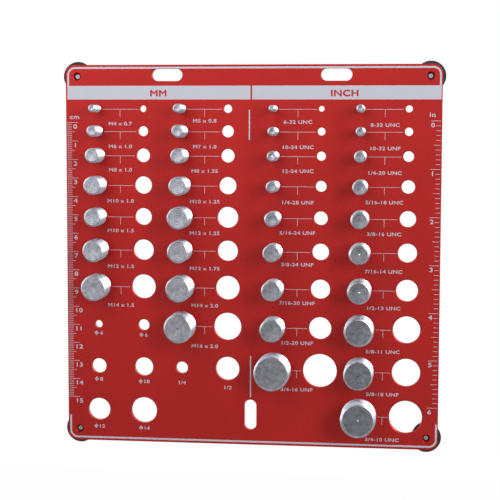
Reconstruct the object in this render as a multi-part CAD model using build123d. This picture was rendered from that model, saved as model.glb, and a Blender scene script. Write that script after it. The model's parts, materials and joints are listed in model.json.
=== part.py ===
from build123d import *
import os

# Nut and bolt thread checker: a hanging board that holds a stud and a tapped hole for each
# thread size, with plain gauge holes beside them and a rubber foot behind each corner.
# Lengths are in millimetres. X runs to the right, Y away from the reader and Z up.
# The origin lies midway between the two top slots, on the front face of the board.

INCH = 25.4

# Board, cut from one sheet
BOARD_THICKNESS = 3.0
BOARD_CORNER_RADIUS = 5.0
BOARD_EDGE_BREAK = 0.3

# Columns from left to right: a stud, then the hole of the same thread beside it
SIDE_MARGIN = 17.25
STUD_TO_HOLE = 25.0
PAIR_GAP = 21.0
MIDDLE_GAP = 25.0

# Rows from top to bottom
TOP_MARGIN = 23.4
ROW_PITCHES = [12.0, 13.0, 16.0, 17.0, 18.0, 20.0, 21.0, 23.0, 24.0]
BOTTOM_MARGIN = 17.4

# Slots that the board hangs by: two level ones at the top and an upright one below
SLOT_LENGTH = 16.5
SLOT_WIDTH = 6.5
TOP_SLOT_SPACING = 90.6
STRIP_OVER_TOP_SLOTS = 2.2
STRIP_UNDER_LOW_SLOT = 8.15

# Studs, each with a spigot that fills a tapped seat and a shoulder on the board's front face
STUD_RISE = 13.3
STUD_CHAMFER = 0.8
STUD_SEAT_CLEARANCE = 0.02

# Tapped holes and seats: how far the thread's crests stand into the bore, per unit of pitch
CREST_PER_PITCH = 0.3

# Plain gauge holes are this much wider than the rod that they gauge
GAUGE_CLEARANCE = 0.1

# Rubber feet at the corners, each with the washer and the screw that hold it
CORNER_INSET = 6.2
FOOT_DIAMETER = 16.0
FOOT_TAPER = 0.6
FOOT_WEB = 2.8
FOOT_HOLE_CLEARANCE = 0.2
WASHER_DIAMETER = 9.0
WASHER_THICKNESS = 1.0
WASHER_CLEARANCE = 0.2
SCREW_DIAMETER = 3.9
SCREW_CLEARANCE = 0.05
SCREW_REACH_INTO_BOARD = 1.2
SCREW_TIP_CHAMFER = 0.5
SCREW_HEAD_DIAMETER = 7.0
SCREW_HEAD_HEIGHT = 2.0
SCREW_HEAD_CHAMFER = 0.6
SCREW_HEAD_SINK = 0.2


def metric(diameter, pitch):
    """Name, diameter and pitch of a metric thread."""
    return f"m{diameter}x{pitch}".replace(".", "_"), float(diameter), float(pitch)


def numbered(number, threads_per_inch):
    """Name, diameter and pitch of a numbered inch thread, which grows by 13 thousandths a size."""
    diameter = (0.060 + 0.013 * number) * INCH
    return f"no{number}_{threads_per_inch}", diameter, INCH / threads_per_inch


def fractional(above, below, threads_per_inch):
    """Name, diameter and pitch of an inch thread whose diameter is a fraction of an inch."""
    return f"in{above}_{below}_{threads_per_inch}", INCH * above / below, INCH / threads_per_inch


# The threads of each column, from the top row down
COLUMNS = [
    [
        metric(4, 0.7),
        metric(6, 1.0),
        metric(8, 1.0),
        metric(10, 1.0),
        metric(10, 1.5),
        metric(12, 1.5),
        metric(14, 1.5),
    ],
    [
        metric(5, 0.8),
        metric(7, 1.0),
        metric(8, 1.25),
        metric(10, 1.25),
        metric(12, 1.25),
        metric(12, 1.75),
        metric(14, 2.0),
        metric(16, 2.0),
    ],
    [
        numbered(6, 32),
        numbered(10, 24),
        numbered(12, 24),
        fractional(1, 4, 28),
        fractional(5, 16, 24),
        fractional(3, 8, 24),
        fractional(7, 16, 20),
        fractional(1, 2, 20),
        fractional(3, 4, 16),
    ],
    [
        numbered(8, 32),
        numbered(10, 32),
        fractional(1, 4, 20),
        fractional(5, 16, 18),
        fractional(3, 8, 16),
        fractional(7, 16, 14),
        fractional(1, 2, 13),
        fractional(5, 8, 11),
        fractional(5, 8, 18),
        fractional(3, 4, 10),
    ],
]

# The board's size and the places on it, worked out from the sizes above
BOARD_WIDTH = 2 * (SIDE_MARGIN + STUD_TO_HOLE + PAIR_GAP + STUD_TO_HOLE) + MIDDLE_GAP
BOARD_HEIGHT = TOP_MARGIN + sum(ROW_PITCHES) + BOTTOM_MARGIN
TOP_EDGE = STRIP_OVER_TOP_SLOTS + SLOT_WIDTH / 2
BOTTOM_EDGE = TOP_EDGE - BOARD_HEIGHT
LOW_SLOT_Z = BOTTOM_EDGE + STRIP_UNDER_LOW_SLOT + SLOT_LENGTH / 2
FIRST_STUD_X = SIDE_MARGIN - BOARD_WIDTH / 2
SECOND_STUD_X = FIRST_STUD_X + STUD_TO_HOLE + PAIR_GAP
THIRD_STUD_X = MIDDLE_GAP / 2
FOURTH_STUD_X = THIRD_STUD_X + STUD_TO_HOLE + PAIR_GAP
STUD_COLUMNS = [FIRST_STUD_X, SECOND_STUD_X, THIRD_STUD_X, FOURTH_STUD_X]
ROWS = [TOP_EDGE - TOP_MARGIN - sum(ROW_PITCHES[:i]) for i in range(len(ROW_PITCHES) + 1)]

# Plain gauge holes: column, row and the diameter of the rod that each gauges
GAUGE_HOLES = [
    (FIRST_STUD_X, ROWS[7], 4.0),
    (FIRST_STUD_X + STUD_TO_HOLE, ROWS[7], 6.0),
    (FIRST_STUD_X, ROWS[8], 8.0),
    (FIRST_STUD_X + STUD_TO_HOLE, ROWS[8], 10.0),
    (FIRST_STUD_X, ROWS[9], 12.0),
    (FIRST_STUD_X + STUD_TO_HOLE, ROWS[9], 14.0),
    (SECOND_STUD_X, ROWS[8], INCH / 4),
    (SECOND_STUD_X + STUD_TO_HOLE, ROWS[8], INCH / 2),
]

CORNER_X = BOARD_WIDTH / 2 - CORNER_INSET
CORNERS = {
    "top_left": (-CORNER_X, TOP_EDGE - CORNER_INSET),
    "top_right": (CORNER_X, TOP_EDGE - CORNER_INSET),
    "bottom_left": (-CORNER_X, BOTTOM_EDGE + CORNER_INSET),
    "bottom_right": (CORNER_X, BOTTOM_EDGE + CORNER_INSET),
}

# Heights behind the board's front face, at the corners
FOOT_SEAT = -BOARD_THICKNESS
WASHER_SEAT = FOOT_SEAT - FOOT_WEB
SCREW_SEAT = WASHER_SEAT - WASHER_THICKNESS
SCREW_TOP = SCREW_SEAT - SCREW_HEAD_HEIGHT
FOOT_END = SCREW_TOP - SCREW_HEAD_SINK
SCREW_TIP = FOOT_SEAT + SCREW_REACH_INTO_BOARD

# Pieces are made about their own Z axis, which points at the reader from the board's front
FRONT = Plane(origin=(0, 0, 0), x_dir=(1, 0, 0), z_dir=(0, -1, 0))


def place(piece, x, z):
    """Set a piece on the board at x and z."""
    return FRONT * Pos(x, z, 0) * piece


def turn(profile):
    """Turn a closed profile of (radius, height) points about the Z axis."""
    outline = Polyline([(radius, 0, height) for radius, height in profile], close=True)
    return revolve(make_face(outline), Axis.Z)


def threads():
    """Each thread with its name, diameter, pitch, stud column and row."""
    for x, column in zip(STUD_COLUMNS, COLUMNS):
        for z, (name, diameter, pitch) in zip(ROWS, column):
            yield name, diameter, pitch, x, z


def tapped_radius(diameter, pitch):
    """Radius of a tapped hole at the crests of its thread."""
    return diameter / 2 - CREST_PER_PITCH * pitch


def board():
    """The sheet, with its slots, tapped holes, stud seats, gauge holes and corner holes."""
    middle = (TOP_EDGE + BOTTOM_EDGE) / 2
    blank = Pos(0, middle) * RectangleRounded(BOARD_WIDTH, BOARD_HEIGHT, BOARD_CORNER_RADIUS)
    sheet = extrude(blank, -BOARD_THICKNESS)
    rims = sheet.faces().filter_by(Axis.Z).edges()
    sheet = chamfer(rims, BOARD_EDGE_BREAK)

    slot = SlotOverall(SLOT_LENGTH, SLOT_WIDTH)
    cuts = [Pos(side * TOP_SLOT_SPACING / 2, 0) * slot for side in (-1, 1)]
    cuts.append(Pos(0, LOW_SLOT_Z) * Rot(0, 0, 90) * slot)
    for name, diameter, pitch, x, z in threads():
        tapped = Circle(tapped_radius(diameter, pitch))
        cuts += [Pos(x, z) * tapped, Pos(x + STUD_TO_HOLE, z) * tapped]
    for x, z, diameter in GAUGE_HOLES:
        cuts.append(Pos(x, z) * Circle((diameter + GAUGE_CLEARANCE) / 2))
    for x, z in CORNERS.values():
        cuts.append(Pos(x, z) * Circle(SCREW_DIAMETER / 2 + SCREW_CLEARANCE))
    holes = extrude(Sketch() + cuts, -BOARD_THICKNESS)
    return FRONT * (sheet - holes)


def stud(diameter, pitch):
    """A stud flush with the board's back, stepped at its spigot and chamfered at its tip."""
    radius = diameter / 2
    spigot = tapped_radius(diameter, pitch) - STUD_SEAT_CLEARANCE
    tip = radius - STUD_CHAMFER
    return turn(
        [
            (0, -BOARD_THICKNESS),
            (spigot, -BOARD_THICKNESS),
            (spigot, 0),
            (radius, 0),
            (radius, STUD_RISE - STUD_CHAMFER),
            (tip, STUD_RISE),
            (0, STUD_RISE),
        ]
    )


def foot():
    """A rubber foot behind the board, with a recess for the washer and the screw's head."""
    hole = SCREW_DIAMETER / 2 + FOOT_HOLE_CLEARANCE
    recess = WASHER_DIAMETER / 2 + WASHER_CLEARANCE
    outside = FOOT_DIAMETER / 2
    return turn(
        [
            (hole, FOOT_SEAT),
            (outside, FOOT_SEAT),
            (outside - FOOT_TAPER, FOOT_END),
            (recess, FOOT_END),
            (recess, WASHER_SEAT),
            (hole, WASHER_SEAT),
        ]
    )


def washer():
    """The steel washer on the foot's web, which spreads the screw's pull over the rubber."""
    hole = SCREW_DIAMETER / 2 + FOOT_HOLE_CLEARANCE
    rim = WASHER_DIAMETER / 2
    return turn([(hole, WASHER_SEAT), (rim, WASHER_SEAT), (rim, SCREW_SEAT), (hole, SCREW_SEAT)])


def screw():
    """A pan-head screw from behind, whose tip ends inside the board's corner hole."""
    shank = SCREW_DIAMETER / 2
    head = SCREW_HEAD_DIAMETER / 2
    return turn(
        [
            (0, SCREW_TOP),
            (head - SCREW_HEAD_CHAMFER, SCREW_TOP),
            (head, SCREW_TOP + SCREW_HEAD_CHAMFER),
            (head, SCREW_SEAT),
            (shank, SCREW_SEAT),
            (shank, SCREW_TIP - SCREW_TIP_CHAMFER),
            (shank - SCREW_TIP_CHAMFER, SCREW_TIP),
            (0, SCREW_TIP),
        ]
    )


pieces = {"board": board()}
for name, diameter, pitch, x, z in threads():
    pieces["stud_" + name] = place(stud(diameter, pitch), x, z)
for corner, (x, z) in CORNERS.items():
    pieces["foot_" + corner] = place(foot(), x, z)
pieces["foot_washers"] = Compound([place(washer(), x, z) for x, z in CORNERS.values()])
pieces["foot_screws"] = Compound([place(screw(), x, z) for x, z in CORNERS.values()])

os.makedirs("parts", exist_ok=True)
for name, piece in pieces.items():
    export_step(piece, f"parts/{name}.step")
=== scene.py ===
import bpy
import json
import math
import re
from mathutils import Matrix, Vector


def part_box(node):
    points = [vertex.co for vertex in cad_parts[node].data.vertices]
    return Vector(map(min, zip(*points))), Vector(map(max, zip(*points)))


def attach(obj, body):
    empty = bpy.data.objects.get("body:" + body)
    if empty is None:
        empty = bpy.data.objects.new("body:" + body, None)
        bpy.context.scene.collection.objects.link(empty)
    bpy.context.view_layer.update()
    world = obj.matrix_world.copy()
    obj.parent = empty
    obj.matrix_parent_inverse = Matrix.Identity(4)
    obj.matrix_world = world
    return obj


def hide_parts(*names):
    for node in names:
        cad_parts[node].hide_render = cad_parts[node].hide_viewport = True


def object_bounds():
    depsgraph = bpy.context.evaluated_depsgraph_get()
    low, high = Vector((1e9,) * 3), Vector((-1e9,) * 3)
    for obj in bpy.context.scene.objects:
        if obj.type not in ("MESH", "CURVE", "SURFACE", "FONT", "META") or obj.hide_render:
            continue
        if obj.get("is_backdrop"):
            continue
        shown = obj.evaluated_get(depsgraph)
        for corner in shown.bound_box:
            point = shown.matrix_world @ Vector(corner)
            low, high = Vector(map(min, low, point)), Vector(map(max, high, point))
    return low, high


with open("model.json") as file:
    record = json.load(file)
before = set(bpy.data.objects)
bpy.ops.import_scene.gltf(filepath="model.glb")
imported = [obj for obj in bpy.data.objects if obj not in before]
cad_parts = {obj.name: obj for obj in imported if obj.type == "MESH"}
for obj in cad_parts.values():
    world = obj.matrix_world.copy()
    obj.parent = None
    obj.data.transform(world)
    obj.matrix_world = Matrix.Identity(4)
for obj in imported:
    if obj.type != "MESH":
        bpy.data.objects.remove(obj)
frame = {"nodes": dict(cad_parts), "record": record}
cad_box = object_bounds()

# Board: one sheet of aluminium, cut and drilled, then blasted and anodised red. Every hole's edge is
# broken. The holes beside the studs are tapped, and each stud sits in a seat of its own size.

MM = 0.001
INCH = 25.4 * MM
MERGE_WITHIN = 0.0005 * MM
LEAST_STEPS = 48
STEPS_PER_MM = 8
CORNER_SEGMENTS = 12
BOARD_CORNER_RADIUS = 5 * MM
BOARD_EDGE_ROUND = 0.1 * MM
BOARD_EDGE_SEGMENTS = 3
HOLE_EDGE_BREAK = 0.25 * MM
SEAT_EDGE_BREAK = 0.1 * MM
CORNER_HOLE_RADIUS = 2 * MM
DRILL_OVERRUN = 0.6 * MM
SMOOTH_WALLS = 13

# Of a thread's depth: its countersink. Of its pitch: the flat of its crest, and how far the tap
# overlaps the bore. Its flanks stand at 60 degrees, so they spread by this much of their height.
THREAD_COUNTERSINK = 0.8
CREST_FLAT = 1 / 8
TAP_OVERLAP = 0.06
FLANK_SPREAD = 2 * math.tan(math.radians(30))

# A face looks along an axis where its normal reaches this far along it
FACING = 0.9

mounts = {mount["name"]: mount for mount in frame["record"]["mounts"]}
board_low, board_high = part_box("board")
stud_nodes = [node for node in frame["nodes"] if node.startswith("stud_")]
foot_nodes = [node for node in frame["nodes"] if re.fullmatch("foot_(top|bottom)_(left|right)", node)]


def only(*pieces):
    """Select these pieces alone, the first of them active."""
    bpy.ops.object.select_all(action="DESELECT")
    for piece in pieces:
        piece.select_set(True)
    bpy.context.view_layer.objects.active = pieces[0]


def choose(piece, kind, wanted):
    """Open a piece in edit mode, with the faces, edges or points that are wanted selected."""
    only(piece)
    bpy.ops.object.mode_set(mode="EDIT")
    bpy.ops.mesh.select_mode(type=kind)
    bpy.ops.mesh.select_all(action="DESELECT")
    bpy.ops.object.mode_set(mode="OBJECT")
    parts = {"VERT": "vertices", "EDGE": "edges", "FACE": "polygons"}[kind]
    for part in getattr(piece.data, parts):
        part.select = wanted(part)
    bpy.ops.object.mode_set(mode="EDIT")


def close_edit():
    """Leave edit mode."""
    bpy.ops.object.mode_set(mode="OBJECT")


def heal(piece):
    """Merge a piece's doubled points and point its faces outwards."""
    choose(piece, "VERT", lambda point: True)
    bpy.ops.mesh.remove_doubles(threshold=MERGE_WITHIN)
    bpy.ops.mesh.normals_make_consistent(inside=False)
    close_edit()


def settle(piece):
    """Put a piece's place, turn and scale into its mesh."""
    only(piece)
    bpy.ops.object.transform_apply(location=True, rotation=True, scale=True)


def apply_modifier(piece, kind, **settings):
    """Put a modifier on a piece and apply it."""
    only(piece)
    modifier = piece.modifiers.new(kind.title(), kind)
    for name, value in settings.items():
        setattr(modifier, name, value)
    bpy.ops.object.modifier_apply(modifier=modifier.name)


def put(piece, x, z):
    """Move a piece that was made about the Y axis to its own axis."""
    piece.location = (x, 0, z)
    settle(piece)
    return piece


def block(name, low, high):
    """A block from its low corner to its high one."""
    bpy.ops.object.select_all(action="DESELECT")
    low, high = Vector(low), Vector(high)
    bpy.ops.mesh.primitive_cube_add(size=1, location=(low + high) / 2, scale=high - low)
    piece = bpy.context.active_object
    piece.name = name
    settle(piece)
    return piece


def round_corners(piece, radius, wanted=lambda corner: True):
    """Round those of a flat block's corners that are wanted."""
    points = piece.data.vertices

    def is_corner(edge):
        a, b = (points[i].co for i in edge.vertices)
        return abs(a.y - b.y) > MERGE_WITHIN and wanted(a)

    choose(piece, "EDGE", is_corner)
    bpy.ops.mesh.bevel(offset=radius, segments=CORNER_SEGMENTS)
    close_edit()


def turned(name, outline, steps):
    """Turn a solid about the Y axis: a disc, extruded and resized along (radius, y) points."""
    radius, y = outline[0]
    bpy.ops.object.select_all(action="DESELECT")
    facing = (math.pi / 2, math.pi / steps, 0)
    bpy.ops.mesh.primitive_circle_add(
        vertices=steps, radius=radius, fill_type="NGON", location=(0, y, 0), rotation=facing
    )
    piece = bpy.context.active_object
    piece.name = name
    settle(piece)
    choose(piece, "FACE", lambda face: True)
    for next_radius, next_y in outline[1:]:
        bpy.ops.mesh.extrude_region_move(TRANSFORM_OT_translate={"value": (0, next_y - y, 0)})
        growth = next_radius / radius
        bpy.ops.transform.resize(value=(growth, 1, growth), center_override=(0, next_y, 0))
        radius, y = next_radius, next_y
    close_edit()
    heal(piece)
    return piece


def helix(name, section, pitch, turns, steps):
    """A right-hand helix about the Y axis of a (radius, y) section, closed at its ends."""
    bpy.ops.object.select_all(action="DESELECT")
    bpy.ops.mesh.primitive_circle_add(vertices=len(section), radius=pitch, fill_type="NGON")
    piece = bpy.context.active_object
    piece.name = name
    for corner, (radius, y) in zip(piece.data.vertices, section):
        corner.co = (radius, y, 0)
    path = {"axis": "Y", "steps": steps, "render_steps": steps, "iterations": turns}
    apply_modifier(piece, "SCREW", screw_offset=pitch, **path)
    heal(piece)
    choose(piece, "VERT", lambda point: False)
    bpy.ops.mesh.select_non_manifold(extend=False)
    bpy.ops.mesh.edge_face_add()
    close_edit()
    heal(piece)
    return piece


def vee(tip, mouth, tip_half, y):
    """The section of a thread's groove: flanks at 60 degrees from a flat tip out to its mouth."""
    mouth_half = tip_half + FLANK_SPREAD * abs(mouth - tip) / 2
    return [(tip, y - tip_half), (tip, y + tip_half), (mouth, y + mouth_half), (mouth, y - mouth_half)]


def joined(name, pieces):
    """Several pieces as one."""
    only(*pieces)
    bpy.ops.object.join()
    pieces[0].name = name
    return pieces[0]


def cut(piece, tool):
    """Cut a tool's solid out of a piece and throw the tool away."""
    apply_modifier(piece, "BOOLEAN", operation="DIFFERENCE", solver="MANIFOLD", object=tool)
    bpy.data.objects.remove(tool)


def finish_piece(piece, material, smooth_below):
    """Shade a piece, give it its material and its slot, and let it ride on the one body."""
    only(piece)
    bpy.ops.object.shade_smooth_by_angle(angle=math.radians(smooth_below))
    piece.data.materials.clear()
    piece.data.materials.append(material)
    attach(piece, "root")


def steps_for(radius):
    """Steps round a turned form of this radius, a multiple of eight."""
    return max(LEAST_STEPS, STEPS_PER_MM * round(radius / MM))


def middle_of(node):
    """A node's middle and its outer radius about the Y axis."""
    low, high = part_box(node)
    return (low.x + high.x) / 2, (low.z + high.z) / 2, (high.x - low.x) / 2


def thread_pitch(node):
    """The pitch that a stud's name ends with: millimetres after an x, or threads to an inch."""
    metric = re.search(r"x(\d+)_(\d+)$", node)
    if metric:
        return float(".".join(metric.groups())) * MM
    return INCH / int(node.rsplit("_", 1)[1])


def drill(radius, edge_break=HOLE_EDGE_BREAK):
    """A drill that also breaks the hole's front and back edges."""
    rim = radius + edge_break + DRILL_OVERRUN
    outline = [
        (rim, board_low.y - DRILL_OVERRUN),
        (radius, board_low.y + edge_break),
        (radius, board_high.y - edge_break),
        (rim, board_high.y + DRILL_OVERRUN),
    ]
    return turned("drill", outline, steps_for(radius))


def slot_drill(x, z, radius, reach_x, reach_z):
    """A drill drawn out into a slot, its halves moved apart."""
    tool = drill(radius)
    for side in (-1, 1):
        choose(tool, "VERT", lambda point: side * (point.co.x if reach_x else point.co.z) > 0)
        bpy.ops.transform.translate(value=(side * reach_x, 0, side * reach_z))
        close_edit()
    return put(tool, x, z)


def hexadecimal(colour):
    """An sRGB hex colour as linear light, with full alpha."""
    channels = [int(colour[i : i + 2], 16) / 255 for i in (1, 3, 5)]
    return [c / 12.92 if c <= 0.04045 else ((c + 0.055) / 1.055) ** 2.4 for c in channels] + [1.0]


def add_node(material, kind, sockets, **settings):
    """Add a node to a material, with its settings and a value or a link for each socket."""
    made = material.node_tree.nodes.new(kind)
    for name, value in settings.items():
        setattr(made, name, value)
    for socket, value in sockets.items():
        if isinstance(value, bpy.types.NodeSocket):
            material.node_tree.links.new(value, made.inputs[socket])
        else:
            made.inputs[socket].default_value = value
    return made


def new_material(name):
    """A material with no nodes yet."""
    material = bpy.data.materials.new(name)
    material.use_nodes = True
    material.node_tree.nodes.clear()
    return material


# Anodised aluminium: dye in a clear skin over metal gives a deep satin red, and the blasting
# before it an even grain. The real grain is about 0.1 mm, drawn at 0.9 mm so that it shows.
ANODISED_LIGHT = "#d22622"
ANODISED_DARK = "#8c1413"
BLAST_GRAIN = 0.9 * MM
BLAST_DEPTH = 0.03 * MM
DYE_DRIFT = 40 * MM
DRIFT_SHARE = 0.3

anodised = new_material("anodised_aluminium_red")
place = add_node(anodised, "ShaderNodeTexCoord", {}).outputs["Object"]
grain = add_node(
    anodised,
    "ShaderNodeTexNoise",
    {"Vector": place, "Scale": 1 / BLAST_GRAIN, "Detail": 2.0, "Roughness": 0.7},
).outputs["Fac"]
drift = add_node(anodised, "ShaderNodeTexNoise", {"Vector": place, "Scale": 1 / DYE_DRIFT}).outputs["Fac"]
depth = add_node(anodised, "ShaderNodeMix", {0: DRIFT_SHARE, 2: grain, 3: drift}).outputs[0]
dye = add_node(
    anodised,
    "ShaderNodeMix",
    {0: depth, 6: hexadecimal(ANODISED_DARK), 7: hexadecimal(ANODISED_LIGHT)},
    data_type="RGBA",
).outputs[2]
sheen = add_node(anodised, "ShaderNodeMapRange", {"Value": grain, "To Min": 0.3, "To Max": 0.48})
relief = add_node(anodised, "ShaderNodeBump", {"Height": grain, "Strength": 0.5, "Distance": BLAST_DEPTH})
shader = add_node(
    anodised,
    "ShaderNodeBsdfPrincipled",
    {
        "Base Color": dye,
        "Metallic": 0.45,
        "Roughness": sheen.outputs[0],
        "Normal": relief.outputs[0],
    },
)
add_node(anodised, "ShaderNodeOutputMaterial", {"Surface": shader.outputs[0]})

board = block("board_sheet", board_low, board_high)
round_corners(board, BOARD_CORNER_RADIUS)
choose(board, "FACE", lambda face: abs(face.normal.y) > FACING)
bpy.ops.mesh.region_to_loop()
bpy.ops.mesh.bevel(offset=BOARD_EDGE_ROUND, segments=BOARD_EDGE_SEGMENTS)
close_edit()

drills = []
taps = []
for node in stud_nodes:
    x, z, major = middle_of(node)
    hole = mounts["hole_" + node.removeprefix("stud_")]
    hole_x, _, hole_z = hole["pos_m"]
    bore = hole["dims"]["r_mm"] * MM
    seat_drill = drill(bore, SEAT_EDGE_BREAK)
    tapping_drill = drill(bore, THREAD_COUNTERSINK * (major - bore))
    drills += [put(seat_drill, x, z), put(tapping_drill, hole_x, hole_z)]
    pitch = thread_pitch(node)
    start = board_low.y - pitch
    turns = math.ceil((board_high.y - start) / pitch) + 1
    section = vee(major, bore - TAP_OVERLAP * pitch, CREST_FLAT * pitch / 2, start)
    taps.append(put(helix("tap", section, pitch, turns, steps_for(major)), hole_x, hole_z))
for mount in mounts.values():
    if mount["kind"] == "bore":
        x, _, z = mount["pos_m"]
        drills.append(put(drill(mount["dims"]["r_mm"] * MM), x, z))
for node in foot_nodes:
    x, z, _ = middle_of(node)
    drills.append(put(drill(CORNER_HOLE_RADIUS), x, z))
slots = mounts["hang_slots"]["dims"]
slot_radius = slots["hole_r_mm"] * MM
slot_reach = slots["slot_length_mm"] * MM / 2 - slot_radius
slot_x = slots["spacing_x_mm"] * MM / 2
low_slot_z = mounts["low_slot"]["pos_m"][2]
drills.append(slot_drill(-slot_x, 0, slot_radius, slot_reach, 0))
drills.append(slot_drill(slot_x, 0, slot_radius, slot_reach, 0))
drills.append(slot_drill(0, low_slot_z, slot_radius, 0, slot_reach))
cut(board, joined("drills", drills))
cut(board, joined("taps", taps))
finish_piece(board, anodised, SMOOTH_WALLS)
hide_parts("board")

# Etched marks: the border with its header band. A laser has burnt off the dye, down to the pale
# metal. Each mark is a thin plate set into the board's face, a hundredth of a millimetre proud.

MARK_RISE = 0.01 * MM
MARK_DEPTH = 0.03 * MM
BORDER_LEFT = -99.9 * MM
BORDER_RIGHT = 100.2 * MM
BORDER_TOP = 4.3 * MM
BORDER_BOTTOM = -198.15 * MM
BORDER_WIDTH = 0.95 * MM
BORDER_RADIUS = 4.3 * MM
BAND_TOP = -5.75 * MM
BAND_BOTTOM = -13.05 * MM
BAND_GAP = (-0.38 * MM, 0.52 * MM)
LOW_BORDER_TOP = -185.45 * MM

# Laser-etched aluminium: bare metal burnt matt gives a pale bluish grey. The beam's passes leave
# a fine grain, about 0.05 mm on the real board and drawn at 0.4 mm so that it shows.
ETCHED_LIGHT = "#c6c6d1"
ETCHED_DARK = "#b4b4bf"
ETCH_GRAIN = 0.4 * MM
etched = new_material("etched_aluminium")
place = add_node(etched, "ShaderNodeTexCoord", {}).outputs["Object"]
grain = add_node(etched, "ShaderNodeTexNoise", {"Vector": place, "Scale": 1 / ETCH_GRAIN}).outputs["Fac"]
colour = add_node(
    etched,
    "ShaderNodeMix",
    {0: grain, 6: hexadecimal(ETCHED_DARK), 7: hexadecimal(ETCHED_LIGHT)},
    data_type="RGBA",
).outputs[2]
sheen = add_node(etched, "ShaderNodeMapRange", {"Value": grain, "To Min": 0.5, "To Max": 0.62})
shader = add_node(
    etched,
    "ShaderNodeBsdfPrincipled",
    {"Base Color": colour, "Metallic": 0.2, "Roughness": sheen.outputs[0]},
)
add_node(etched, "ShaderNodeOutputMaterial", {"Surface": shader.outputs[0]})


def mark(name, left, right, bottom, top, spare=0.0):
    """A thin plate in the board's face, or with some depth to spare a tool to cut one."""
    low = (left, board_low.y - MARK_RISE - spare, bottom)
    high = (right, board_low.y + MARK_DEPTH + spare, top)
    return block(name, low, high)


inner_left = BORDER_LEFT + BORDER_WIDTH
inner_right = BORDER_RIGHT - BORDER_WIDTH
inner_radius = BORDER_RADIUS - BORDER_WIDTH

header = mark("etched_header", BORDER_LEFT, BORDER_RIGHT, BAND_BOTTOM, BORDER_TOP)
round_corners(header, BORDER_RADIUS, lambda corner: corner.z > BAND_TOP)
window = mark("window", inner_left, inner_right, BAND_TOP, BORDER_TOP - BORDER_WIDTH, spare=MM)
round_corners(window, inner_radius, lambda corner: corner.z > BAND_TOP + MERGE_WITHIN)
cut(header, window)
cut(header, mark("gap", *BAND_GAP, BAND_BOTTOM - MM, BAND_TOP + MERGE_WITHIN, spare=MM))

low_border = mark("etched_low_border", BORDER_LEFT, BORDER_RIGHT, BORDER_BOTTOM, LOW_BORDER_TOP)
round_corners(low_border, BORDER_RADIUS, lambda corner: corner.z < LOW_BORDER_TOP - MERGE_WITHIN)
inner_bottom = BORDER_BOTTOM + BORDER_WIDTH
window = mark("window", inner_left, inner_right, inner_bottom, LOW_BORDER_TOP + MM, spare=MM)
round_corners(window, inner_radius, lambda corner: corner.z < LOW_BORDER_TOP)
cut(low_border, window)

# The font's capitals are 0.69 of its size high. The band's unit signs are cut out of it, so that
# the red shows.
LETTER_HEIGHT = 0.69
LETTER_STRETCH = 1.3
LETTER_SPACING = 1.08
LETTER_CURVE_STEPS = 3
LETTER_HALF_DEPTH = 0.5


def written(words, x, base, height, bolder, across="CENTER", spare=0.0):
    """Words as a thin plate in the board's face, capitals of this height on a base line."""
    bpy.ops.object.select_all(action="DESELECT")
    bpy.ops.object.text_add(location=(x, 0, base), rotation=(math.pi / 2, 0, 0))
    piece = bpy.context.active_object
    piece.data.body = words
    piece.data.align_x = across
    piece.data.space_character = LETTER_SPACING
    piece.data.resolution_u = LETTER_CURVE_STEPS
    piece.data.extrude = LETTER_HALF_DEPTH
    bpy.ops.object.convert(target="MESH")
    size = (height - bolder) / LETTER_HEIGHT
    piece.scale = (size * LETTER_STRETCH, size, MM)
    settle(piece)
    heal(piece)
    choose(piece, "VERT", lambda point: True)
    bpy.ops.transform.shrink_fatten(value=bolder / 2, use_even_offset=True)
    close_edit()
    for side, plane in ((-1, board_low.y - MARK_RISE), (1, board_low.y + MARK_DEPTH)):
        choose(piece, "VERT", lambda point: side * point.co.y > 0)
        flat_at = (0, plane + side * spare, 0)
        bpy.ops.transform.resize(value=(1, 0, 1), center_override=flat_at)
        close_edit()
    return piece


BAND_BASE = -11.25 * MM
BAND_LETTER = 3.5 * MM
BAND_BOLDER = 0.42 * MM
BAND_WORDS = {"MM": -50.1 * MM, "INCH": 49.6 * MM}

for words, x in BAND_WORDS.items():
    cut(header, written(words, x, BAND_BASE, BAND_LETTER, BAND_BOLDER, spare=MM))
border = joined("etched_border", [header, low_border])
finish_piece(border, etched, SMOOTH_WALLS)

# Etched lines: a level line from each stud to its hole with a short stem below, and two upright
# rules on the board's middle line.

LINE_WIDTH = 0.2 * MM
STUD_TO_LINE = 0.6 * MM
LINE_TO_HOLE = 0.9 * MM
LINE_DROP = 0.3 * MM
STEM = 4.0 * MM

# The rules' width, and the x, the bottom and the top of each
RULE_WIDTH = 0.7 * MM
RULES = [(-0.9 * MM, -34.45 * MM, -18.55 * MM), (0.05 * MM, -173.15 * MM, -150.7 * MM)]


def tee(left, right, stem_x, z):
    """A level line with a stem hanging from it."""

    def over_stem(face):
        return face.normal.z < -FACING and abs(face.center.x - stem_x) < LINE_WIDTH / 4

    line = mark("tee", left, right, z - LINE_WIDTH / 2, z + LINE_WIDTH / 2)
    for side in (-1, 1):
        choose(line, "FACE", lambda face: True)
        edge_of_stem = (stem_x + side * LINE_WIDTH / 2, 0, 0)
        bpy.ops.mesh.bisect(plane_co=edge_of_stem, plane_no=(1, 0, 0))
        close_edit()
    choose(line, "FACE", over_stem)
    bpy.ops.mesh.extrude_region_move(TRANSFORM_OT_translate={"value": (0, 0, -STEM)})
    close_edit()
    return line


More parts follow.
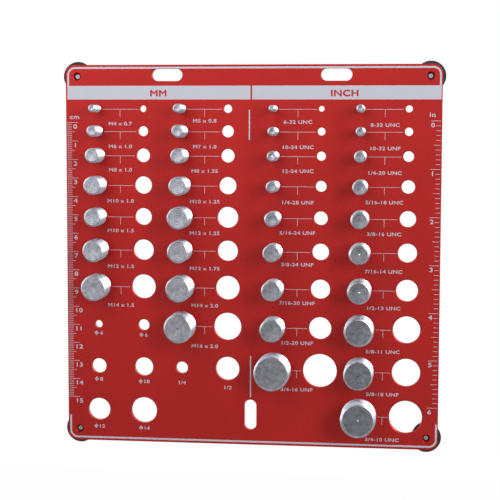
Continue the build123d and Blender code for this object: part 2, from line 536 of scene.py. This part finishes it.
lines = []
for node in stud_nodes:
    x, z, major = middle_of(node)
    hole = mounts["hole_" + node.removeprefix("stud_")]
    hole_x = hole["pos_m"][0]
    left = x + major + STUD_TO_LINE
    right = hole_x - hole["dims"]["r_mm"] * MM - LINE_TO_HOLE
    lines.append(tee(left, right, (x + hole_x) / 2, z - LINE_DROP))
for x, rule_bottom, rule_top in RULES:
    lines.append(mark("rule", x - RULE_WIDTH / 2, x + RULE_WIDTH / 2, rule_bottom, rule_top))
lines = joined("etched_lines", lines)
finish_piece(lines, etched, SMOOTH_WALLS)

# Etched sizes: the size of each thread under its line, and of each gauge hole under the hole. The
# sign for a diameter stands before the millimetre ones.

SIZE_LETTER = 1.9 * MM
SIZE_BOLDER = 0.12 * MM
SIGN_WIDTH = 2.1 * MM
SIGN_HEIGHT = 1.45 * MM
SIGN_BAR = 2.6 * MM
SIGN_LINE = 0.35 * MM
SIGN_STEPS = 32
SIGN_BACK = 0.75 * MM
SIGN_BACK_PER_DIGIT = 0.5 * MM
NUMBER_ONWARDS = 1.4 * MM

# The words of each size, and how many mm their tops lie below the middle of the stud or gauge hole
SIZES = {
    "m4x0_7": ("M4 x 0.7", 7.0),
    "m6x1_0": ("M6 x 1.0", 7.2),
    "m8x1_0": ("M8 x 1.0", 6.8),
    "m10x1_0": ("M10 x 1.0", 7.6),
    "m10x1_5": ("M10 x 1.5", 6.6),
    "m12x1_5": ("M12 x 1.5", 8.1),
    "m14x1_5": ("M14 x 1.5", 9.3),
    "m5x0_8": ("M5 x 0.8", 5.4),
    "m7x1_0": ("M7 x 1.0", 7.2),
    "m8x1_25": ("M8 x 1.25", 7.2),
    "m10x1_25": ("M10 x 1.25", 7.6),
    "m12x1_25": ("M12 x 1.25", 7.6),
    "m12x1_75": ("M12 x 1.75", 8.7),
    "m14x2_0": ("M14 x 2.0", 8.8),
    "m16x2_0": ("M16 x 2.0", 9.9),
    "no6_32": ("6-32 UNC", 6.0),
    "no10_24": ("10-24 UNC", 7.3),
    "no12_24": ("12-24 UNC", 7.0),
    "in1_4_28": ("1/4-28 UNF", 7.7),
    "in5_16_24": ("5/16-24 UNF", 6.9),
    "in3_8_24": ("3/8-24 UNF", 5.9),
    "in7_16_20": ("7/16-20 UNF", 6.6),
    "in1_2_20": ("1/2-20 UNF", 7.2),
    "in3_4_16": ("3/4-16 UNF", 9.5),
    "no8_32": ("8-32 UNC", 7.5),
    "no10_32": ("10-32 UNF", 7.8),
    "in1_4_20": ("1/4-20 UNC", 7.7),
    "in5_16_18": ("5/16-18 UNC", 7.3),
    "in3_8_16": ("3/8-16 UNC", 7.1),
    "in7_16_14": ("7/16-14 UNC", 9.0),
    "in1_2_13": ("1/2-13 UNC", 8.6),
    "in5_8_11": ("5/8-11 UNC", 11.0),
    "in5_8_18": ("5/8-18 UNF", 11.0),
    "in3_4_10": ("3/4-10 UNC", 11.6),
}
GAUGE_SIZES = {
    "gauge_4": ("4", 3.9),
    "gauge_6": ("6", 4.5),
    "gauge_8": ("8", 6.3),
    "gauge_10": ("10", 7.1),
    "gauge_12": ("12", 8.5),
    "gauge_14": ("14", 8.9),
    "gauge_in1_4": ("1/4", 7.2),
    "gauge_in1_2": ("1/2", 9.3),
}


def copy_of(piece, name):
    """A copy of a piece, with its own mesh."""
    only(piece)
    bpy.ops.object.duplicate()
    bpy.context.active_object.name = name
    return bpy.context.active_object


def diameter_sign():
    """A ring, wider than high, crossed by an upright bar."""
    front, back = board_low.y - MARK_RISE, board_low.y + MARK_DEPTH
    radius = SIGN_HEIGHT / 2
    sign = turned("sign", [(radius, front), (radius, back)], SIGN_STEPS)
    eye = [(radius - SIGN_LINE, front - MM), (radius - SIGN_LINE, back + MM)]
    cut(sign, turned("eye", eye, SIGN_STEPS))
    sign.scale.x = SIGN_WIDTH / SIGN_HEIGHT
    settle(sign)
    bar = mark("bar", -SIGN_LINE / 2, SIGN_LINE / 2, -SIGN_BAR / 2, SIGN_BAR / 2)
    apply_modifier(sign, "BOOLEAN", operation="UNION", solver="MANIFOLD", object=bar)
    bpy.data.objects.remove(bar)
    return sign


labels = []
for key, (words, drop) in SIZES.items():
    x, z, _ = middle_of("stud_" + key)
    middle = (x + mounts["hole_" + key]["pos_m"][0]) / 2
    labels.append(written(words, middle, z - drop * MM - SIZE_LETTER, SIZE_LETTER, SIZE_BOLDER))
sign = diameter_sign()
for name, (words, drop) in GAUGE_SIZES.items():
    x, _, z = mounts[name]["pos_m"]
    base = z - drop * MM - SIZE_LETTER
    if words.isdigit():
        sign_x = x - SIGN_BACK - SIGN_BACK_PER_DIGIT * len(words)
        labels.append(put(copy_of(sign, "sign"), sign_x, base + SIZE_LETTER / 2))
        x += NUMBER_ONWARDS
    labels.append(written(words, x, base, SIZE_LETTER, SIZE_BOLDER))
bpy.data.objects.remove(sign)
labels = joined("etched_sizes", labels)
finish_piece(labels, etched, SMOOTH_WALLS)

# Etched rulers: centimetres down the left edge and inches down the right one, each with its
# number below and inwards of every long tick.

RULER_LETTER = 2.4 * MM
RULER_BOLDER = 0.14 * MM
TICK_WIDTH = 0.22 * MM
NUMBER_DROP = 0.9 * MM
CM = 10 * MM
CM_EDGE = -100.2 * MM
CM_TICKS = (2.6 * MM, 4.2 * MM, 6.0 * MM)
CM_ZERO = -25.35 * MM
CM_NUMBERS_X = -96.8 * MM
CM_LAST = 15
CM_SIGN = {"x": -96.05 * MM, "base": -23.5 * MM, "height": 2.45 * MM}
INCH_EDGE = 100.05 * MM
INCH_TICKS = (2.45 * MM, 3.55 * MM, 5.15 * MM)
INCH_ZERO = -24.25 * MM
INCH_NUMBERS_X = 96.0 * MM
INCH_LAST = 6
INCH_SIGN = {"x": 95.7 * MM, "base": -22.15 * MM, "height": 2.5 * MM}


def tick(edge, length, z):
    """One tick from a ruler's edge, to the right or, with a length below nought, to the left."""
    left, right = sorted((edge, edge + length))
    return mark("tick", left, right, z - TICK_WIDTH / 2, z + TICK_WIDTH / 2)


def ruler(edge, inwards, lengths, zero, unit, last):
    """A ruler's ticks: those from one number to the next, repeated down to the last number."""
    short, half, full = lengths
    by_place = [full] + 4 * [short] + [half] + 4 * [short]
    ticks = []
    for place, length in enumerate(by_place):
        ticks.append(tick(edge, inwards * length, zero - place * unit / len(by_place)))
    ticks = joined("ticks", ticks)
    apply_modifier(
        ticks,
        "ARRAY",
        count=last,
        use_relative_offset=False,
        use_constant_offset=True,
        constant_offset_displace=(0, 0, -unit),
    )
    return [ticks, tick(edge, inwards * full, zero - last * unit)]


rulers = ruler(CM_EDGE, 1, CM_TICKS, CM_ZERO, CM, CM_LAST)
for number in range(CM_LAST + 1):
    base = CM_ZERO - number * CM - NUMBER_DROP - RULER_LETTER
    rulers.append(written(str(number), CM_NUMBERS_X, base, RULER_LETTER, RULER_BOLDER, "LEFT"))
rulers += ruler(INCH_EDGE, -1, INCH_TICKS, INCH_ZERO, INCH, INCH_LAST)
for number in range(INCH_LAST + 1):
    base = INCH_ZERO - number * INCH - NUMBER_DROP - RULER_LETTER
    rulers.append(written(str(number), INCH_NUMBERS_X, base, RULER_LETTER, RULER_BOLDER))
rulers.append(written("cm", bolder=RULER_BOLDER, **CM_SIGN))
rulers.append(written("in", bolder=RULER_BOLDER, **INCH_SIGN))
rulers = joined("etched_rulers", rulers)
finish_piece(rulers, etched, SMOOTH_WALLS)

# Studs: bright steel bar, turned, threaded and chamfered. Each sits in its seat on a plain spigot, up
# to a shoulder. Facing leaves rings on the end, and on some a pip or a dimple at the centre.

# Shares of a thread's pitch
CREST_UNDER_SIZE = 0.05
THREAD_DEPTH = 0.57
GROOVE_OVERLAP = 0.04
THREAD_START = 0.6
CHAMFER_PER_PITCH = 0.28

# Sizes that all studs have alike
STUD_CHAMFER = 0.5 * MM
SPIGOT_CHAMFER = 0.25 * MM
SEAT_CLEARANCE = 0.02 * MM
RIM_WIDTH = 0.25 * MM
END_DISH = 0.1 * MM
DISH_FLOOR = 0.4
PIP_RADIUS = 0.45 * MM
PIP_HEIGHT = 0.1 * MM
DIMPLE_RADIUS = 0.5 * MM
DIMPLE_DEPTH = 1.2 * MM
DIMPLE_NARROWING = 0.125 * MM
DIMPLE_POINT = 1 / 4

WITH_PIP = {
    "m6x1_0",
    "m8x1_0",
    "m10x1_0",
    "m12x1_5",
    "no12_24",
    "in1_2_13",
    "in7_16_14",
    "in3_4_10",
}
WITH_DIMPLE = {"m16x2_0", "no10_24", "no10_32", "in5_16_18", "in3_8_16", "in5_8_18"}

# Turned steel: a clean grey metal, satin on the threads and smoother on the faced end, slightly
# cloudy from handling. The facing cut's rings are 0.1 mm apart and are drawn at 0.9 mm to show.
STEEL_LIGHT = "#d8dae4"
STEEL_DARK = "#9a9ba5"
RING_SPACING = 0.9 * MM
RING_DEPTH = 0.012 * MM
RING_WAVER = 0.8 * MM
RING_TONE = 0.2
FACED_ROUGHNESS = 0.17
CLOUD_SIZE = 2.0 * MM

steel = new_material("turned_steel")
from_axis = add_node(steel, "ShaderNodeAttribute", {}, attribute_name="from_axis").outputs["Vector"]
place = add_node(steel, "ShaderNodeTexCoord", {}).outputs["Object"]
reach = add_node(steel, "ShaderNodeVectorMath", {0: from_axis}, operation="LENGTH").outputs["Value"]
waver = add_node(steel, "ShaderNodeTexNoise", {"Vector": place, "Scale": 1 / RING_WAVER}).outputs["Fac"]
phase = add_node(
    steel,
    "ShaderNodeMath",
    {0: reach, 1: 2 * math.pi / RING_SPACING, 2: waver},
    operation="MULTIPLY_ADD",
)
rings = add_node(steel, "ShaderNodeMath", {0: phase.outputs[0]}, operation="SINE").outputs[0]
cloud = add_node(steel, "ShaderNodeTexNoise", {"Vector": place, "Scale": 1 / CLOUD_SIZE, "Detail": 4.0})
haze = add_node(steel, "ShaderNodeMapRange", {"Value": cloud.outputs[0], "From Min": 0.2, "From Max": 0.8})
tone = add_node(
    steel,
    "ShaderNodeMath",
    {0: rings, 1: RING_TONE, 2: haze.outputs[0]},
    operation="MULTIPLY_ADD",
)
colour = add_node(
    steel,
    "ShaderNodeMix",
    {0: tone.outputs[0], 6: hexadecimal(STEEL_DARK), 7: hexadecimal(STEEL_LIGHT)},
    data_type="RGBA",
).outputs[2]
faced = add_node(steel, "ShaderNodeAttribute", {}, attribute_name="faced").outputs["Fac"]
sheen = add_node(steel, "ShaderNodeMapRange", {"Value": cloud.outputs[0], "To Min": 0.28, "To Max": 0.4})
sheen = add_node(steel, "ShaderNodeMix", {0: faced, 2: sheen.outputs[0], 3: FACED_ROUGHNESS})
relief = add_node(steel, "ShaderNodeBump", {"Height": rings, "Strength": 0.4, "Distance": RING_DEPTH})
shader = add_node(
    steel,
    "ShaderNodeBsdfPrincipled",
    {
        "Base Color": colour,
        "Metallic": 1.0,
        "Roughness": sheen.outputs[0],
        "Normal": relief.outputs[0],
    },
)
add_node(steel, "ShaderNodeOutputMaterial", {"Surface": shader.outputs[0]})


def mark_finish(piece, face_y, face_radius):
    """Keep each point's offset from the Y axis in metres, and whether it is on the faced end."""
    offsets = piece.data.attributes.new("from_axis", "FLOAT_VECTOR", "POINT")
    for point, offset in zip(piece.data.vertices, offsets.data):
        offset.vector = (point.co.x, 0, point.co.z)
    faces = piece.data.attributes.new("faced", "FLOAT", "POINT")
    for point, face in zip(piece.data.vertices, faces.data):
        face.value = float(point.co.y < face_y and math.hypot(point.co.x, point.co.z) < face_radius)


def die(major, pitch, y, turns, steps):
    """The helix that cuts an outside thread, from y on."""
    root = major - THREAD_DEPTH * pitch
    root_half = (1 - CREST_FLAT - FLANK_SPREAD * THREAD_DEPTH) * pitch / 2
    return helix("die", vee(root, major + GROOVE_OVERLAP * pitch, root_half, y), pitch, turns, steps)


def end_centre(key, floor):
    """What the facing cut left at the middle of a stud's end, as (radius, y) points."""
    if key in WITH_PIP:
        return [(PIP_RADIUS, floor), (PIP_RADIUS / 2, floor - PIP_HEIGHT)]
    if key in WITH_DIMPLE:
        wall = DIMPLE_RADIUS - DIMPLE_NARROWING
        bottom = floor + DIMPLE_DEPTH
        return [(DIMPLE_RADIUS, floor), (wall, bottom), (DIMPLE_POINT * wall, bottom + wall / 2)]
    return []


for node in stud_nodes:
    key = node.removeprefix("stud_")
    x, z, nominal = middle_of(node)
    low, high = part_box(node)
    pitch = thread_pitch(node)
    major = nominal - CREST_UNDER_SIZE * pitch
    spigot = mounts["hole_" + key]["dims"]["r_mm"] * MM - SEAT_CLEARANCE
    chamfer = STUD_CHAMFER + CHAMFER_PER_PITCH * pitch
    tip = major - chamfer
    floor = low.y + END_DISH
    outline = [
        (spigot - SPIGOT_CHAMFER, high.y),
        (spigot, high.y - SPIGOT_CHAMFER),
        (spigot, 0),
        (major, 0),
        (major, low.y + chamfer),
        (tip, low.y),
        (tip - RIM_WIDTH, low.y),
        (DISH_FLOOR * tip, floor),
    ]
    steps = steps_for(major)
    stud = turned(node + "_threaded", outline + end_centre(key, floor), steps)
    turns = math.ceil(-low.y / pitch) + 1
    cut(stud, die(major, pitch, -(THREAD_START + turns) * pitch, turns, steps))
    mark_finish(stud, floor + DIMPLE_DEPTH + MERGE_WITHIN, tip - RIM_WIDTH + MERGE_WITHIN)
    put(stud, x, z)
    finish_piece(stud, steel, SMOOTH_WALLS)
    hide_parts(node)

# Feet: a moulded black rubber foot behind each corner, slightly tapered, with a rounded rim and a
# recess for its washer and the head of its screw.

FOOT_TAPER = 0.6 * MM
FOOT_WEB = 2.8 * MM
FOOT_HOLE_RADIUS = 2.15 * MM
FOOT_RECESS_RADIUS = 4.7 * MM
FOOT_RIM_ROUND = 0.7 * MM
FOOT_STEPS = 72
FOOT_SMOOTH = 30
ROUND_STEPS = 5

# Moulded rubber: near black and matt, with the fine orange-peel of its mould. The peel is about
# 0.3 mm and is drawn at 0.6 mm, so that it shows.
RUBBER_BLACK = "#1b1c1f"
RUBBER_PEEL = 0.6 * MM
PEEL_DEPTH = 0.02 * MM
rubber = new_material("moulded_rubber_black")
place = add_node(rubber, "ShaderNodeTexCoord", {}).outputs["Object"]
peel = add_node(rubber, "ShaderNodeTexNoise", {"Vector": place, "Scale": 1 / RUBBER_PEEL}).outputs["Fac"]
relief = add_node(rubber, "ShaderNodeBump", {"Height": peel, "Strength": 0.4, "Distance": PEEL_DEPTH})
sheen = add_node(rubber, "ShaderNodeMapRange", {"Value": peel, "To Min": 0.5, "To Max": 0.66})
shader = add_node(
    rubber,
    "ShaderNodeBsdfPrincipled",
    {
        "Base Color": hexadecimal(RUBBER_BLACK),
        "Roughness": sheen.outputs[0],
        "Normal": relief.outputs[0],
    },
)
add_node(rubber, "ShaderNodeOutputMaterial", {"Surface": shader.outputs[0]})


def rounded_rim(radius, y, size):
    """Points of a quarter round that leads from a turned form's side to its end at y."""
    angles = [i / ROUND_STEPS * math.pi / 2 for i in range(ROUND_STEPS + 1)]
    return [(radius - size + size * math.cos(a), y - size + size * math.sin(a)) for a in angles]


low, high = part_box(foot_nodes[0])
outside = middle_of(foot_nodes[0])[2]
outline = [(outside, low.y)]
outline += rounded_rim(outside - FOOT_TAPER, high.y, FOOT_RIM_ROUND)
outline += [(FOOT_RECESS_RADIUS, high.y), (FOOT_RECESS_RADIUS, low.y + FOOT_WEB)]
moulding = turned("moulding", outline, FOOT_STEPS)
span = [(FOOT_HOLE_RADIUS, low.y - MM), (FOOT_HOLE_RADIUS, high.y)]
cut(moulding, turned("foot_hole", span, FOOT_STEPS))
for node in foot_nodes:
    x, z, _ = middle_of(node)
    foot = put(copy_of(moulding, node + "_moulded"), x, z)
    finish_piece(foot, rubber, FOOT_SMOOTH)
    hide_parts(node)
bpy.data.objects.remove(moulding)

# Foot washers and screws: zinc-plated steel. A washer lies in each foot's recess, and a pan-head
# screw with a cross recess goes through it and the foot into the board's corner hole.

WASHER_EDGE = 0.15 * MM
SCREW_SHANK_RADIUS = 1.95 * MM
SCREW_TIP_CHAMFER = 0.8 * MM
SCREW_PITCH = 0.7 * MM
SCREW_HEAD_RADIUS = 3.5 * MM
SCREW_HEAD_ROUND = 1.1 * MM
CROSS_REACH = 2.1 * MM
CROSS_WIDTH = 0.9 * MM
CROSS_DEPTH = 1.2 * MM
CROSS_TAPER = 0.5
SCREW_STEPS = 48
SCREW_SMOOTH = 30

# Zinc plate: thin bright plating over steel gives a bluish silver, with a faint cloudiness where
# the bath has left it, spots about 1 mm across.
ZINC_LIGHT = "#c9cfd6"
ZINC_DARK = "#99a0a8"
ZINC_CLOUD = 1.0 * MM
zinc = new_material("zinc_plated_steel")
place = add_node(zinc, "ShaderNodeTexCoord", {}).outputs["Object"]
cloud = add_node(zinc, "ShaderNodeTexNoise", {"Vector": place, "Scale": 1 / ZINC_CLOUD, "Detail": 3.0})
colour = add_node(
    zinc,
    "ShaderNodeMix",
    {0: cloud.outputs[0], 6: hexadecimal(ZINC_DARK), 7: hexadecimal(ZINC_LIGHT)},
    data_type="RGBA",
).outputs[2]
sheen = add_node(zinc, "ShaderNodeMapRange", {"Value": cloud.outputs[0], "To Min": 0.22, "To Max": 0.4})
shader = add_node(
    zinc,
    "ShaderNodeBsdfPrincipled",
    {"Base Color": colour, "Metallic": 1.0, "Roughness": sheen.outputs[0]},
)
add_node(zinc, "ShaderNodeOutputMaterial", {"Surface": shader.outputs[0]})


def at_each_foot(pattern, name):
    """Copies of a fastener at every foot, as one piece."""
    copies = [put(copy_of(pattern, name), *middle_of(node)[:2]) for node in foot_nodes]
    bpy.data.objects.remove(pattern)
    return joined(name, copies)


low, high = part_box("foot_washers")
washer_radius = high.x - max(middle_of(node)[0] for node in foot_nodes)
outline = [
    (washer_radius - WASHER_EDGE, low.y),
    (washer_radius, low.y + WASHER_EDGE),
    (washer_radius, high.y - WASHER_EDGE),
    (washer_radius - WASHER_EDGE, high.y),
]
washer = turned("washer", outline, SCREW_STEPS)
span = [(FOOT_HOLE_RADIUS, low.y - MM), (FOOT_HOLE_RADIUS, high.y + MM)]
cut(washer, turned("washer_hole", span, SCREW_STEPS))
washers = at_each_foot(washer, "foot_washers_flat")
finish_piece(washers, zinc, SCREW_SMOOTH)
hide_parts("foot_washers")

seat = high.y
low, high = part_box("foot_screws")
outline = [
    (SCREW_SHANK_RADIUS - SCREW_TIP_CHAMFER, low.y),
    (SCREW_SHANK_RADIUS, low.y + SCREW_TIP_CHAMFER),
    (SCREW_SHANK_RADIUS, seat),
    (SCREW_HEAD_RADIUS, seat),
]
outline += rounded_rim(SCREW_HEAD_RADIUS, high.y, SCREW_HEAD_ROUND)
screw = turned("screw", outline, SCREW_STEPS)
start = low.y - SCREW_PITCH
turns = math.floor((seat - start) / SCREW_PITCH - THREAD_START)
cut(screw, die(SCREW_SHANK_RADIUS, SCREW_PITCH, start, turns, SCREW_STEPS))
for quarter in (0, 1):
    recess_floor = high.y - CROSS_DEPTH
    low_corner = (-CROSS_REACH, recess_floor, -CROSS_WIDTH / 2)
    arm = block("cross_arm", low_corner, (CROSS_REACH, high.y + MM, CROSS_WIDTH / 2))
    choose(arm, "FACE", lambda face: face.normal.y < -FACING)
    narrower = (CROSS_TAPER, 1, CROSS_TAPER)
    bpy.ops.transform.resize(value=narrower, center_override=(0, recess_floor, 0))
    close_edit()
    arm.rotation_euler = (0, quarter * math.pi / 2, 0)
    settle(arm)
    cut(screw, arm)
screws = at_each_foot(screw, "foot_screws_pan_head")
finish_piece(screws, zinc, SCREW_SMOOTH)
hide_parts("foot_screws")

# Stage: a plain pale floor well below the board, a white room, three soft lamps and the camera. The
# floor keeps the board's shadow, and its glow is for the camera alone.

FLOOR_DROP = 400 * MM
FLOOR_SIZE = 3
FLOOR_GLOW = 0.985
FLOOR_GREY = "#c8c8c8"
WHITE = "#ffffff"

bpy.ops.object.select_all(action="DESELECT")
bpy.ops.mesh.primitive_plane_add(size=FLOOR_SIZE, location=(0, 0, board_low.z - FLOOR_DROP))
floor = bpy.context.active_object
floor.name = "floor"
paper = new_material("floor_paper")
ray = add_node(paper, "ShaderNodeLightPath", {})
matt = add_node(paper, "ShaderNodeBsdfDiffuse", {"Color": hexadecimal(FLOOR_GREY)})
white = add_node(paper, "ShaderNodeEmission", {"Color": hexadecimal(WHITE), "Strength": 1.0})
seen = add_node(
    paper,
    "ShaderNodeMath",
    {0: ray.outputs["Is Camera Ray"], 1: FLOOR_GLOW},
    operation="MULTIPLY",
)
blend = add_node(
    paper,
    "ShaderNodeMixShader",
    {0: seen.outputs[0], 1: matt.outputs[0], 2: white.outputs[0]},
)
add_node(paper, "ShaderNodeOutputMaterial", {"Surface": blend.outputs[0]})
floor.data.materials.append(paper)
floor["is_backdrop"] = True

# The room is white where the camera looks. In a reflection it is dim behind the camera, lighter
# to the left, a little to the right, at both sides and above, darker towards the floor and dark
# straight overhead.
ROOM_LIGHT = 0.08

# Each change in the room: the way it runs, where on that way it starts and ends, and its level there
ROOM_CHANGES = {
    "left": ("x", -0.18, -0.02, 0.9, 0.35),
    "right": ("x", 0.0, 0.25, 0.0, 0.35),
    "sides": ("outwards", 0.5, 0.9, 0.0, 0.7),
    "rising": ("z", -0.2, 0.15, 0.48, 1.6),
    "overhead": ("z", 0.2, 0.6, 0.0, 1.0),
    "roof": ("z", 0.86, 0.97, 0.75, 0.12),
    "beyond": ("y", 0.0, 0.3, 0.0, 1.0),
}

world = bpy.data.worlds.new("studio")
bpy.context.scene.world = world
world.use_nodes = True
world.node_tree.nodes.clear()

ray = add_node(world, "ShaderNodeLightPath", {})
towards = add_node(world, "ShaderNodeTexCoord", {}).outputs["Generated"]
along = add_node(world, "ShaderNodeSeparateXYZ", {0: towards}).outputs
outwards = add_node(world, "ShaderNodeMath", {0: along["X"]}, operation="ABSOLUTE").outputs[0]
ways = {"x": along["X"], "y": along["Y"], "z": along["Z"], "outwards": outwards}
change = {}
for name, (way, start, end, first, last) in ROOM_CHANGES.items():
    span = {"Value": ways[way], "From Min": start, "From Max": end, "To Min": first, "To Max": last}
    change[name] = add_node(world, "ShaderNodeMapRange", span, interpolation_type="SMOOTHSTEP").outputs[0]
rising = change["rising"]
wide = add_node(world, "ShaderNodeMath", {0: change["left"], 1: change["right"]}, operation="ADD").outputs[0]
walls = add_node(world, "ShaderNodeMath", {0: wide, 1: rising}, operation="MULTIPLY").outputs[0]
middle = add_node(world, "ShaderNodeMix", {0: change["overhead"], 2: walls, 3: change["roof"]}).outputs[0]
sides = add_node(world, "ShaderNodeMath", {0: change["sides"], 1: rising}, operation="MULTIPLY").outputs[0]
front = add_node(world, "ShaderNodeMath", {0: middle, 1: sides}, operation="ADD")
level = add_node(
    world,
    "ShaderNodeMix",
    {0: ray.outputs["Is Glossy Ray"], 2: ROOM_LIGHT, 3: front.outputs[0]},
)
room = add_node(world, "ShaderNodeMix", {0: change["beyond"], 2: level.outputs[0], 3: 1.0}).outputs[0]
direct = add_node(
    world,
    "ShaderNodeMath",
    {0: ray.outputs["Is Camera Ray"], 1: ray.outputs["Is Transmission Ray"]},
    operation="MAXIMUM",
)
white = add_node(world, "ShaderNodeMix", {0: direct.outputs[0], 2: room, 3: 1.0})
plain = add_node(
    world,
    "ShaderNodeBackground",
    {"Color": hexadecimal(WHITE), "Strength": white.outputs[0]},
)
add_node(world, "ShaderNodeOutputWorld", {"Surface": plain.outputs[0]})

board_middle = (board_low + board_high) / 2


def lamp(name, offset, width, height, power):
    """An oblong lamp, offset in metres from the board's middle and turned towards it."""
    light = bpy.data.lights.new(name, "AREA")
    light.shape = "RECTANGLE"
    light.size = width
    light.size_y = height
    light.energy = power
    made = bpy.data.objects.new(name, light)
    bpy.context.collection.objects.link(made)
    made.location = board_middle + Vector(offset)
    made.rotation_euler = (-Vector(offset)).to_track_quat("-Z", "Y").to_euler()
    return made


# A key lamp from the right, a fill that no reflection shows, and a strip that only reflections show
lamp("key_right", (0.8, -0.8, 0.3), width=0.3, height=0.65, power=8.3)
fill = lamp("fill_left", (-0.2, -0.28, 0.3), width=0.4, height=0.4, power=1.5)
fill.visible_glossy = False
edge_strip = lamp("edge_strip", (0.75, -0.14, 0.65), width=1.2, height=0.25, power=3.5)
edge_strip.visible_diffuse = False

# The camera stands where the photograph's did and takes in the same field
CAMERA_PLACE = Vector((86.86, -717.37, -31.22)) * MM
CAMERA_AIM = Vector((-0.40, 0, -93.31)) * MM
CAMERA_ROLL = 0.15
CAMERA_LENS = 97.39
camera_data = bpy.data.cameras.new("camera")
camera_data.lens = CAMERA_LENS
camera = bpy.data.objects.new("camera", camera_data)
bpy.context.collection.objects.link(camera)
look = (CAMERA_AIM - CAMERA_PLACE).to_track_quat("-Z", "Y").to_matrix().to_4x4()
roll = Matrix.Rotation(math.radians(CAMERA_ROLL), 4, "Z")
camera.matrix_world = Matrix.Translation(CAMERA_PLACE) @ look @ roll
bpy.context.scene.camera = camera
bpy.context.scene.view_settings.view_transform = "Standard"

visual_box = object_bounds()
boxes = {"cad": cad_box, "visual": visual_box}
{name: [list(corner) for corner in box] for name, box in boxes.items()}
